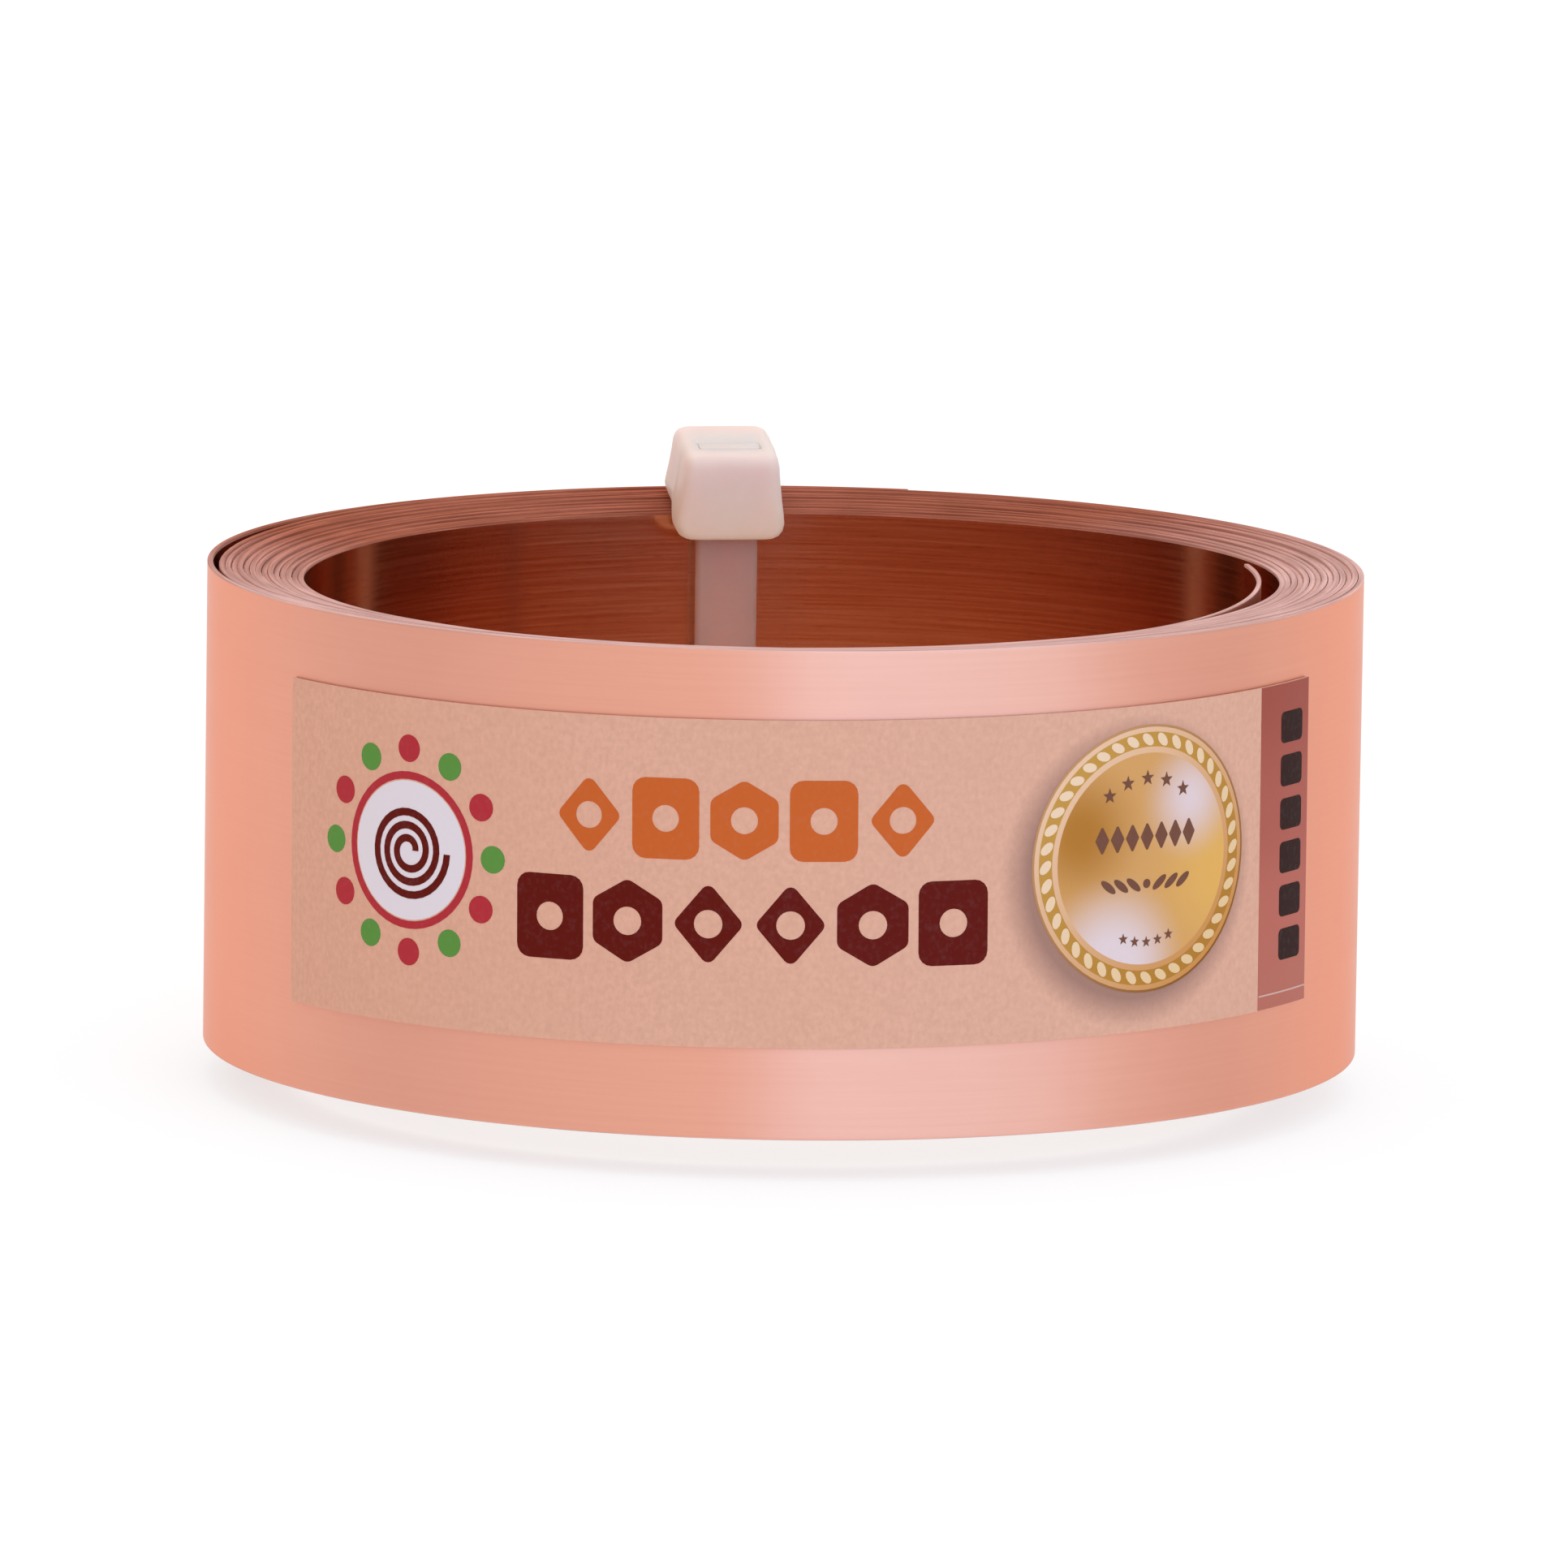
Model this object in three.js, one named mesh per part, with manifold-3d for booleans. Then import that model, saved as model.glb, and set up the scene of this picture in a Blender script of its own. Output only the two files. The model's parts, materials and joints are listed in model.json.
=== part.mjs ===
import * as THREE from 'three';
import { mergeVertices } from 'three/addons/utils/BufferGeometryUtils.js';
import Module from 'manifold-3d';

// A roll of copper strip: one long strip wound into an open ring, cinched by a nylon cable tie
// and carrying a paper label. Lengths are millimetres and angles degrees. +Z is up. Angles run
// anticlockwise from +X, seen from above, and a running angle goes on past 360 turn after turn,
// from the strip's outer end towards its inner end.

// The coil's axis, seen from above. The tie stands proud at the back, so the axis lies a little
// off the origin, which is the middle of the footprint.
const AXIS_X = 0.25;
const AXIS_Y = -0.7;

// Copper strip
const STRIP_WIDTH = 25.4;
const STRIP_THICKNESS = 0.25;
const TURN_PITCH = 0.32; // a strip thickness and the air beside it
const COIL_RADIUS = 30.5; // outer face of the outermost turn where it starts
const FACET = 9; // angle of one flat of the coil
const OUTER_TIP = 78;
const OUTER_BEND = 90; // where the free outer end begins
const INNER_BEND = 309 + 14 * 360; // where the free inner end begins
const INNER_TIP = INNER_BEND + 66;
const END_JOINT_GAP = 0.1; // cut between the coil and each free end
const OUTER_TIP_LIFT = 0.05;
const INNER_END_LIFT = 0.95; // how far the inner end bows off the wall
const INNER_END_BOW = 0.72; // how much of that bow's wave it reaches at its tip

// The outermost turn stands loose off the next one over part of its length.
const LOOSE_FROM = 110;
const LOOSE_TO = 240;
const LOOSE_GAP = 0.3;

// The inner turns have slipped down, so the coil is dished on top and proud underneath.
const DISH_MEAN = 0.6;
const DISH_SWING = 0.2;
const DISH_DEEPEST = 128;
const LEVEL_TURNS = 1.2; // turns, counted from outside, that have not slipped

// Paper label, glued to the outermost turn
const LABEL_FROM = 213.1;
const LABEL_TO = 332.6;
const LABEL_HEIGHT = 17;
const LABEL_ABOVE_EDGE = 4.6;
const LABEL_RISE = 0.4; // it is stuck on askew, a little higher at its far end
const LABEL_THICKNESS = 0.12;
const LABEL_GAP = 0.05;

// Nylon cable tie. It is drawn in its own upright plane: x outwards from the coil's axis,
// y along the coil, z up.
const TIE_ANGLE = 98;
const TIE_CLEARANCE = 0.25;
const STRAP_WIDTH = 3.3;
const STRAP_THICKNESS = 1.1;
const STRAP_INNER_FACE = 25.43; // face of the strap that looks at the coil's inner wall
const STRAP_OUTER_FACE = 30.85; // face of the strap that looks at the coil's outer wall
const BEND_OVER_RIM = 0.95;
const BEND_UNDER_OUTSIDE = 1.05;
const BEND_UNDER_INSIDE = 0.85;
const BEND_INTO_HEAD = 6;
const ARC_STEPS = 5;
const RIM_CLEARANCE = 0.05;
const TOOTH_PITCH = 1.3;
const TOOTH_DEPTH = 0.3;
const TOOTH_LEDGE = 0.1; // height of the steep side of a tooth
const TOOTH_COUNT = 15;
const FIRST_TOOTH_Z = 5;

// The tie's head leans towards the coil's axis, as the dished rim under it does. Its own frame
// has x away from the axis along the rim, z up the slot, and the origin on the strap's middle.
const RIM_SLOPE = 9.1;
const HEAD_ABOVE_RIM = -0.65;
const HEAD_FRONT = -2.1;
const HEAD_BACK = 4.2;
const HEAD_BOTTOM = -1.1;
const HEAD_TOP = 3.72;
const HEAD_WIDTH = 6.2;
const HEAD_TOP_WIDTH = 5.2;
const HEAD_CORNER = 0.8;
const HEEL_FRONT = 0.3; // the head is stepped up behind here, to sit on the rim
const SLOT_FRONT = -0.88;
const SLOT_BACK = 2.35;
const SLOT_WIDTH = 3.6;
const PAWL_WIDTH = 3.2;
const PAWL_BEHIND = 0.2; // gap between the pawl and the back of the slot
const PAWL_FOOT_LENGTH = 0.8;
const PAWL_FOOT_HEIGHT = 0.7;
const PAWL_TIP_LENGTH = 0.9;
const PAWL_FOOT = 0.1;
const PAWL_TIP = 2.9;
const PAWL_TEETH = 3;
const PAWL_TOOTH_PITCH = 0.55;
const PAWL_TOOTH_DEPTH = 0.27;
const PAWL_TOOTH_LEDGE = 0.05;
const PAWL_FACE = 0.66; // its tooth points, just clear of the strap

const BASE_Z = STRAP_THICKNESS + TIE_CLEARANCE + DISH_MEAN + DISH_SWING;
const RIM_Z = BASE_Z + STRIP_WIDTH;

const copper = new THREE.MeshStandardMaterial({ color: 0xd98f72, roughness: 0.3, metalness: 1 });
const kraftPaper = new THREE.MeshStandardMaterial({ color: 0xd7a58c, roughness: 0.8, metalness: 0 });
const nylon = new THREE.MeshStandardMaterial({ color: 0xe4cbc8, roughness: 0.4, metalness: 0 });

const wasm = await Module();
wasm.setup();

// ---------- wound strip and label ----------

const radians = THREE.MathUtils.degToRad;

/** How far the outermost turn stands off the next one. */
function loosenessAt(angle) {
  const share = (angle - LOOSE_FROM) / (LOOSE_TO - LOOSE_FROM);
  return share > 0 && share < 1 ? LOOSE_GAP * Math.sin(Math.PI * share) ** 2 : 0;
}

/** Radius of the strip's outer face. */
function coilRadiusAt(angle) {
  return COIL_RADIUS - (TURN_PITCH * (angle - OUTER_BEND)) / 360 + loosenessAt(angle);
}

/** Height of the strip's lower edge. */
function lowerEdgeAt(angle) {
  const turn = (angle - OUTER_BEND) / 360;
  const lastTurn = (INNER_BEND - OUTER_BEND) / 360;
  const slip = THREE.MathUtils.clamp((turn - LEVEL_TURNS) / (lastTurn - LEVEL_TURNS), 0, 1);
  const depth = DISH_MEAN + DISH_SWING * Math.cos(radians(angle - DISH_DEEPEST));
  return BASE_Z - depth * slip;
}

/** Running angles from one to another, with a stop at each whole facet between them. */
function facetAngles(from, to) {
  const angles = [from];
  for (let step = Math.floor(from / FACET) + 1; step * FACET < to; step += 1) {
    angles.push(step * FACET);
  }
  angles.push(to);
  return angles;
}

/** A closed sheet that bends around the coil's axis. */
function curvedSheet(angles, outerRadiusAt, thickness, bottomAt, height) {
  const positions = [];
  const index = [];
  for (const angle of angles) {
    const outer = outerRadiusAt(angle);
    const inner = outer - thickness;
    const bottom = bottomAt(angle);
    const top = bottom + height;
    for (const [radius, z] of [[inner, bottom], [outer, bottom], [outer, top], [inner, top]]) {
      positions.push(radius * Math.cos(radians(angle)), radius * Math.sin(radians(angle)), z);
    }
  }
  index.push(0, 1, 2, 0, 2, 3);
  for (let section = 0; section < angles.length - 1; section += 1) {
    for (let corner = 0; corner < 4; corner += 1) {
      const here = 4 * section + corner;
      const beside = 4 * section + ((corner + 1) % 4);
      index.push(here, here + 4, beside + 4, here, beside + 4, beside);
    }
  }
  const last = 4 * (angles.length - 1);
  index.push(last, last + 2, last + 1, last, last + 3, last + 2);
  const geometry = new THREE.BufferGeometry();
  geometry.setAttribute('position', new THREE.Float32BufferAttribute(positions, 3));
  geometry.setIndex(index);
  return geometry;
}

/** The angle that an arc of this length covers at a radius. */
function angleOf(length, radius) {
  return THREE.MathUtils.radToDeg(length / radius);
}

function stripCoil() {
  const angles = facetAngles(OUTER_BEND, INNER_BEND);
  return curvedSheet(angles, coilRadiusAt, STRIP_THICKNESS, lowerEdgeAt, STRIP_WIDTH);
}

/** The last stretch of strip outside, past the tie, which springs away from the coil. */
function stripOuterEnd() {
  const start = OUTER_BEND - angleOf(END_JOINT_GAP, COIL_RADIUS);
  const radiusAt = (angle) => {
    const share = (start - angle) / (start - OUTER_TIP);
    return coilRadiusAt(angle) + OUTER_TIP_LIFT * share ** 2;
  };
  const angles = facetAngles(OUTER_TIP, start);
  return curvedSheet(angles, radiusAt, STRIP_THICKNESS, lowerEdgeAt, STRIP_WIDTH);
}

/** The last stretch of strip inside, which springs away from the wall. */
function stripInnerEnd() {
  const start = INNER_BEND + angleOf(END_JOINT_GAP, coilRadiusAt(INNER_BEND));
  const radiusAt = (angle) => {
    const share = (angle - start) / (INNER_TIP - start);
    return coilRadiusAt(angle) - INNER_END_LIFT * Math.sin(Math.PI * INNER_END_BOW * share) ** 2;
  };
  const angles = facetAngles(start, INNER_TIP);
  return curvedSheet(angles, radiusAt, STRIP_THICKNESS, lowerEdgeAt, STRIP_WIDTH);
}

function paperLabel() {
  const radiusAt = (angle) => coilRadiusAt(angle) + LABEL_GAP + LABEL_THICKNESS;
  const shareAt = (angle) => (angle - LABEL_FROM) / (LABEL_TO - LABEL_FROM);
  const bottomAt = (angle) => BASE_Z + LABEL_ABOVE_EDGE + LABEL_RISE * shareAt(angle);
  const angles = facetAngles(LABEL_FROM, LABEL_TO);
  return curvedSheet(angles, radiusAt, LABEL_THICKNESS, bottomAt, LABEL_HEIGHT);
}

// ---------- cable tie ----------

/** An outline drawn in x and z, given a width along y. */
function plate(outline, width) {
  const geometry = new THREE.ExtrudeGeometry(outline, { depth: width, bevelEnabled: false });
  geometry.translate(0, 0, -width / 2);
  geometry.rotateX(Math.PI / 2);
  return geometry;
}

/** A point of the tie's plane, from a point in its head's frame. */
function fromHead(x, z) {
  const slope = radians(RIM_SLOPE);
  const middle = STRAP_INNER_FACE - STRAP_THICKNESS / 2;
  return new THREE.Vector2(
    middle + x * Math.cos(slope) - z * Math.sin(slope),
    RIM_Z + HEAD_ABOVE_RIM + x * Math.sin(slope) + z * Math.cos(slope),
  );
}

const ahead = (heading) => new THREE.Vector2(Math.cos(heading), Math.sin(heading));
const leftOf = (heading) => new THREE.Vector2(-Math.sin(heading), Math.cos(heading));
const headingTo = (from, to) => Math.atan2(to.y - from.y, to.x - from.x);

/** Points and headings along straight runs whose corners are rounded. */
function roundedRoute(corners, radii) {
  const route = [{ point: corners[0], heading: headingTo(corners[0], corners[1]) }];
  radii.forEach((radius, i) => {
    const corner = corners[i + 1];
    const before = headingTo(corners[i], corner);
    const change = headingTo(corner, corners[i + 2]) - before;
    const turn = Math.atan2(Math.sin(change), Math.cos(change));
    const side = Math.sign(turn) * radius;
    const cut = radius * Math.tan(Math.abs(turn) / 2);
    const start = corner.clone().addScaledVector(ahead(before), -cut);
    const centre = start.addScaledVector(leftOf(before), side);
    for (let step = 0; step <= ARC_STEPS; step += 1) {
      const heading = before + (turn * step) / ARC_STEPS;
      route.push({ point: centre.clone().addScaledVector(leftOf(heading), -side), heading });
    }
  });
  const last = corners.at(-1);
  route.push({ point: last, heading: headingTo(corners.at(-2), last) });
  return route;
}

/** Saw teeth on the face that looks at the inner wall, from the first tooth upwards. */
function strapTeeth() {
  const teeth = [];
  for (let tooth = 0; tooth < TOOTH_COUNT; tooth += 1) {
    const z = FIRST_TOOTH_Z + tooth * TOOTH_PITCH;
    teeth.push(new THREE.Vector2(STRAP_INNER_FACE - TOOTH_DEPTH, z));
    teeth.push(new THREE.Vector2(STRAP_INNER_FACE, z + TOOTH_LEDGE));
  }
  return teeth;
}

/** From the back of the head over the rim, down outside, under the coil, up inside and through
    the head's slot, where it is cut off flush. */
function tieStrap() {
  const half = STRAP_THICKNESS / 2;
  const overRim = half + RIM_CLEARANCE;
  const slope = Math.tan(radians(RIM_SLOPE));
  const start = fromHead(HEAD_BACK + END_JOINT_GAP, overRim);
  const outer = STRAP_OUTER_FACE + half;
  const inner = STRAP_INNER_FACE - half;
  const corners = [
    start,
    new THREE.Vector2(outer, start.y + (outer - start.x) * slope),
    new THREE.Vector2(outer, half),
    new THREE.Vector2(inner, half),
    fromHead(0, 0),
    fromHead(0, HEAD_TOP),
  ];
  const radii = [BEND_OVER_RIM, BEND_UNDER_OUTSIDE, BEND_UNDER_INSIDE, BEND_INTO_HEAD];
  const route = roundedRoute(corners, radii);
  const faceAt = (offset) => ({ point, heading }) =>
    point.clone().addScaledVector(leftOf(heading), offset);
  const smoothFace = route.map(faceAt(half));
  const toothedFace = route.map(faceAt(-half));
  const intoHead = 1 + 3 * (ARC_STEPS + 1); // the start, and the three bends before the head
  toothedFace.splice(intoHead, 0, ...strapTeeth());
  return plate(new THREE.Shape([...smoothFace, ...toothedFace.reverse()]), STRAP_WIDTH);
}

/** A closed geometry as a solid that can be cut. */
function solidOf(geometry) {
  const bare = geometry.clone();
  bare.deleteAttribute('normal');
  bare.deleteAttribute('uv');
  const merged = mergeVertices(bare);
  const vertProperties = new Float32Array(merged.getAttribute('position').array);
  const triVerts = new Uint32Array(merged.getIndex().array);
  return new wasm.Manifold(new wasm.Mesh({ numProp: 3, vertProperties, triVerts }));
}

function geometryOf(solid) {
  const mesh = solid.getMesh();
  const geometry = new THREE.BufferGeometry();
  geometry.setAttribute('position', new THREE.BufferAttribute(mesh.vertProperties, 3));
  geometry.setIndex(new THREE.BufferAttribute(mesh.triVerts, 1));
  return geometry;
}

/** The head seen from the side: a block with a rounded nose and a stepped heel. */
function headSide() {
  const side = new THREE.Shape();
  side.moveTo(HEAD_FRONT + HEAD_CORNER / 2, HEAD_BOTTOM);
  side.lineTo(HEEL_FRONT, HEAD_BOTTOM);
  side.lineTo(HEEL_FRONT, 0);
  side.lineTo(HEAD_BACK, 0);
  side.lineTo(HEAD_BACK, HEAD_TOP - HEAD_CORNER);
  side.absarc(HEAD_BACK - HEAD_CORNER, HEAD_TOP - HEAD_CORNER, HEAD_CORNER, 0, Math.PI / 2);
  side.lineTo(HEAD_FRONT + HEAD_CORNER, HEAD_TOP);
  side.absarc(HEAD_FRONT + HEAD_CORNER, HEAD_TOP - HEAD_CORNER, HEAD_CORNER, Math.PI / 2, Math.PI);
  side.lineTo(HEAD_FRONT, HEAD_BOTTOM + HEAD_CORNER / 2);
  return side;
}

/** The head seen from the coil's axis: it narrows towards the top, with rounded lower corners. */
function headFront() {
  const half = HEAD_WIDTH / 2;
  const topHalf = HEAD_TOP_WIDTH / 2;
  const front = new THREE.Shape();
  front.moveTo(-half + HEAD_CORNER, HEAD_BOTTOM);
  front.lineTo(half - HEAD_CORNER, HEAD_BOTTOM);
  front.absarc(half - HEAD_CORNER, HEAD_BOTTOM + HEAD_CORNER, HEAD_CORNER, -Math.PI / 2, 0);
  front.lineTo(topHalf, HEAD_TOP);
  front.lineTo(-topHalf, HEAD_TOP);
  front.lineTo(-half, HEAD_BOTTOM + HEAD_CORNER);
  front.absarc(-half + HEAD_CORNER, HEAD_BOTTOM + HEAD_CORNER, HEAD_CORNER, Math.PI, 1.5 * Math.PI);
  return front;
}

function tieHead() {
  const fullLength = HEAD_BACK - HEAD_FRONT;
  const fromTheSide = solidOf(plate(headSide(), HEAD_WIDTH));
  const lengthwise = plate(headFront(), 2 * fullLength);
  lengthwise.rotateZ(Math.PI / 2);
  const slot = new THREE.BoxGeometry(SLOT_BACK - SLOT_FRONT, SLOT_WIDTH, 4 * HEAD_TOP);
  slot.translate((SLOT_BACK + SLOT_FRONT) / 2, 0, 0);
  return geometryOf(fromTheSide.intersect(solidOf(lengthwise)).subtract(solidOf(slot)));
}

/** The toothed tongue in the slot. It hinges at its foot and leans towards the strap. */
function tiePawl() {
  const footBack = SLOT_BACK - PAWL_BEHIND;
  const footFront = footBack - PAWL_FOOT_LENGTH;
  const tipBack = PAWL_FACE + PAWL_TIP_LENGTH;
  const pawl = new THREE.Shape();
  pawl.moveTo(footFront, PAWL_FOOT);
  pawl.lineTo(footBack, PAWL_FOOT);
  pawl.lineTo(footBack, PAWL_FOOT + PAWL_FOOT_HEIGHT);
  pawl.lineTo(tipBack, PAWL_TIP);
  for (let tooth = 0; tooth < PAWL_TEETH; tooth += 1) {
    const top = PAWL_TIP - PAWL_TOOTH_PITCH * tooth;
    pawl.lineTo(PAWL_FACE, top);
    pawl.lineTo(PAWL_FACE + PAWL_TOOTH_DEPTH, top - PAWL_TOOTH_PITCH + PAWL_TOOTH_LEDGE);
  }
  return plate(pawl, PAWL_WIDTH);
}

// ---------- assembly ----------

function part(name, geometry, material, parent) {
  const mesh = new THREE.Mesh(geometry, material);
  mesh.name = name;
  parent.add(mesh);
}

const roll = new THREE.Group();
roll.position.set(AXIS_X, AXIS_Y, 0);
part('strip_coil', stripCoil(), copper, roll);
part('strip_outer_end', stripOuterEnd(), copper, roll);
part('strip_inner_end', stripInnerEnd(), copper, roll);
part('paper_label', paperLabel(), kraftPaper, roll);

const tie = new THREE.Group();
tie.rotation.z = radians(TIE_ANGLE);
part('tie_strap', tieStrap(), nylon, tie);

const headFrame = new THREE.Group();
const headOrigin = fromHead(0, 0);
headFrame.position.set(headOrigin.x, 0, headOrigin.y);
headFrame.rotation.y = -radians(RIM_SLOPE);
part('tie_head', tieHead(), nylon, headFrame);
part('tie_pawl', tiePawl(), nylon, headFrame);
tie.add(headFrame);
roll.add(tie);

export default roll;
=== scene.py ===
import json
import math

import bmesh
import bpy
from mathutils import Matrix, Vector
from mathutils.geometry import tessellate_polygon


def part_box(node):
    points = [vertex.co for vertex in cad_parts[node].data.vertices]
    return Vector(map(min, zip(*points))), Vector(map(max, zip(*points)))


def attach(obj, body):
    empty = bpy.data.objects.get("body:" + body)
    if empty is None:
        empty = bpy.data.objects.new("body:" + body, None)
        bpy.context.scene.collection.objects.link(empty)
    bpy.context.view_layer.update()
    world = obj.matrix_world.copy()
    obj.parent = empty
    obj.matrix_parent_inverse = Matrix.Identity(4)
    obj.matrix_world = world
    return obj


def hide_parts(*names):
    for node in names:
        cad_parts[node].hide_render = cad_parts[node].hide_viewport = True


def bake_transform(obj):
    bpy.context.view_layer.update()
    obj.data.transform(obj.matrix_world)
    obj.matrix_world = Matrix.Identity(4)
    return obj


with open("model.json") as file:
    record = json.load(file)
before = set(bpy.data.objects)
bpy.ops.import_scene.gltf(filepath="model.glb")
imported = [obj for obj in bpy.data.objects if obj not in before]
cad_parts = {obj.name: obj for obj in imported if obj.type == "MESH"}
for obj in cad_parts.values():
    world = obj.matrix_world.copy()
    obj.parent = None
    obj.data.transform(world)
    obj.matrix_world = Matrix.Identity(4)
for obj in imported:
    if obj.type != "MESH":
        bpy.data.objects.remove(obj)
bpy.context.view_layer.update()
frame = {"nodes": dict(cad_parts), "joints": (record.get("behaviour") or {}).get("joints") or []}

# A roll of copper strip with a paper label and a nylon cable tie. Lengths are millimetres and
# angles degrees unless a name says otherwise, and MM turns millimetres into Blender's metres.
# Angles run anticlockwise from +X, seen from above, and go on past 360 turn after turn.
MM = 0.001

# Places taken from the frame
joint_at = {joint["name"]: Vector(joint["pos_m"]) / MM for joint in frame["joints"]}
AXIS = joint_at["tie_travel"]
BASE_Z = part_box("strip_outer_end")[0].z / MM
RIM_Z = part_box("strip_outer_end")[1].z / MM

# Copper strip, whose free ends start at the two bends
STRIP_WIDTH = RIM_Z - BASE_Z
STRIP_THICKNESS = 0.25
PACKED_THICKNESS = 0.3
FREE_WITHIN = 10  # degrees past a bend
EDGE_RADIUS = 0.04
EDGE_STEPS = 3
BURR_HEIGHT = 0.16
TURN_PITCH = 0.32
COIL_RADIUS = 30.5
OUTER_TIP = 78
OUTER_BEND = 90
INNER_BEND = 309 + 14 * 360
INNER_TIP = INNER_BEND + 66
OUTER_TIP_LIFT = 0.05
INNER_END_LIFT = 0.95
INNER_END_BOW = 0.72  # share of a full bow away from the coil and back

# The outermost turn is loose on the left, and stands a step above the turns beneath it
LOOSE_FROM = 110
LOOSE_TO = 240
LOOSE_GAP = 0.3
LOOSE_STEP = 0.2

# How far the innermost turn has slipped down, round the coil
DISH_MEAN = 0.64
DISH_SWING = 0.15
DISH_DEEPEST = 153
DISH_OVAL = 0.05
LEVEL_TURNS = 1.2  # turns before the slip starts

# The hand winding: small waves that differ from one turn to the next, and how many to a turn
WAVES = 1.37
WAVE_DEPTH = 0.009
EDGE_WAVES = 1.61
EDGE_WAVE_HEIGHT = 0.045
EDGE_RIPPLES = 4.23
EDGE_RIPPLE_HEIGHT = 0.015

# Finer meshes where the strip is seen: rows up a face, and degrees from one section to the next
SEEN_ROWS, SEEN_STEP = 9, 1
PACKED_ROWS, PACKED_STEP = 2, 3

# Paper label, and ink films that start inside the paper
LABEL_FROM = 213.1
LABEL_TO = 332.6
LABEL_HEIGHT = 17
LABEL_ABOVE_EDGE = 4.6
LABEL_RISE = 0.4
LABEL_LEAN = 0.009  # how far its lower edge sits to the right, as a share of the height
LABEL_THICKNESS = 0.12
LABEL_GAP = 0.05
INK_PROUD = 0.012
INK_SUNK = 0.02

# Cable tie, drawn in its own upright plane: outwards from the coil's axis, across, and up
TIE_ANGLE = 98
STRAP_WIDTH = 3.3
STRAP_THICKNESS = 1.1
STRAP_INNER_FACE = 25.43
STRAP_OUTER_FACE = 30.85
STRAP_BENDS = (0.95, 1.05, 0.85, 6)  # radii down over the rim, under the coil, up, and into the head
BEND_STEPS = 10
STRAP_ROOT = 0.3  # how far inside the head's back the strap starts
STRAP_CORNER = 0.28
RAIL_WIDTH = 0.62  # the plain strip on either side of the teeth
RAIL_SLANT = 0.06
RIM_CLEARANCE = 0.05
TOOTH_PITCH = 1.3
TOOTH_DEPTH = 0.3
TOOTH_LEDGE = 0.1
TOOTH_COUNT = 15
FIRST_TOOTH_Z = 5
RIM_SLOPE = 9.1
HEAD_ABOVE_RIM = -0.65
HEAD_FRONT = -2.1
HEAD_BACK = 4.2
HEAD_BOTTOM = -1.1
HEAD_TOP = 3.72
HEEL_FRONT = 0.3
HEEL_RAMP = 0.3
SLOT_FRONT = -0.88
SLOT_BACK = 2.35
SLOT_WIDTH = 3.6

# Camera
SENSOR_WIDTH = 36
CAMERA_LENS = 407.6
CAMERA_DISTANCE = 938
CAMERA_ELEVATION = 8.9
CAMERA_ROLL = 0.83
CAMERA_AIM = (-0.14, 1.03)  # right and up from the middle of the coil


def cos_deg(angle):
    return math.cos(math.radians(angle))


def sin_deg(angle):
    return math.sin(math.radians(angle))


def clamped(value, low=0.0, high=1.0):
    return max(low, min(high, value))


def smooth_step(value):
    share = clamped(value)
    return share * share * (3 - 2 * share)


def mixed(start, end, share):
    return start + (end - start) * share


# ---------- meshes ----------


def make_piece(name, points, faces, materials, face_materials=None, sharp_angle=40):
    """A mesh object from points in millimetres, with its faces pointing out."""
    mesh = bpy.data.meshes.new(name)
    mesh.from_pydata([Vector(point) * MM for point in points], [], faces)
    for material in materials:
        mesh.materials.append(material)
    if face_materials:
        mesh.polygons.foreach_set("material_index", face_materials)
    shape = bmesh.new()
    shape.from_mesh(mesh)
    bmesh.ops.recalc_face_normals(shape, faces=shape.faces)
    shape.to_mesh(mesh)
    shape.free()
    mesh.shade_smooth()
    mesh.set_sharp_from_angle(angle=math.radians(sharp_angle))
    piece = bpy.data.objects.new(name, mesh)
    bpy.context.scene.collection.objects.link(piece)
    return piece


def loft(loops, ends_meet=False):
    """Points and faces of a skin over loops of equal length, capped unless its ends meet."""
    count = len(loops[0])
    points = [point for loop in loops for point in loop]
    faces = []
    spans = len(loops) if ends_meet else len(loops) - 1
    for span in range(spans):
        here = span * count
        there = (span + 1) % len(loops) * count
        for side in range(count):
            beside = (side + 1) % count
            faces.append((here + side, there + side, there + beside, here + beside))
    if not ends_meet:
        faces.append(tuple(range(count)))
        faces.append(tuple(range(len(points) - count, len(points))))
    return points, faces


def arc(centre, radius, start, end, steps):
    """Points on a circle from one angle to another."""
    angles = [mixed(start, end, step / steps) for step in range(steps + 1)]
    return [(centre[0] + radius * cos_deg(a), centre[1] + radius * sin_deg(a)) for a in angles]


# ---------- copper strip ----------


def turn_at(angle):
    """Turns inwards from the outer bend."""
    return (angle - OUTER_BEND) / 360


LAST_TURN = turn_at(INNER_BEND)


def looseness_at(angle):
    share = (angle - LOOSE_FROM) / (LOOSE_TO - LOOSE_FROM)
    return LOOSE_GAP * math.sin(math.pi * share) ** 2 if 0 < share < 1 else 0.0


def unevenness_at(angle):
    """How much of the winding's small waves shows: none on the outermost turn and at the end."""
    turn = turn_at(angle)
    return smooth_step(turn - 0.8) * smooth_step(LAST_TURN + 0.2 - turn)


def coil_radius_at(angle):
    """Radius of the strip's outer face."""
    wave = WAVE_DEPTH * sin_deg(WAVES * angle) * unevenness_at(angle)
    return COIL_RADIUS - TURN_PITCH * turn_at(angle) + looseness_at(angle) + wave


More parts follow.
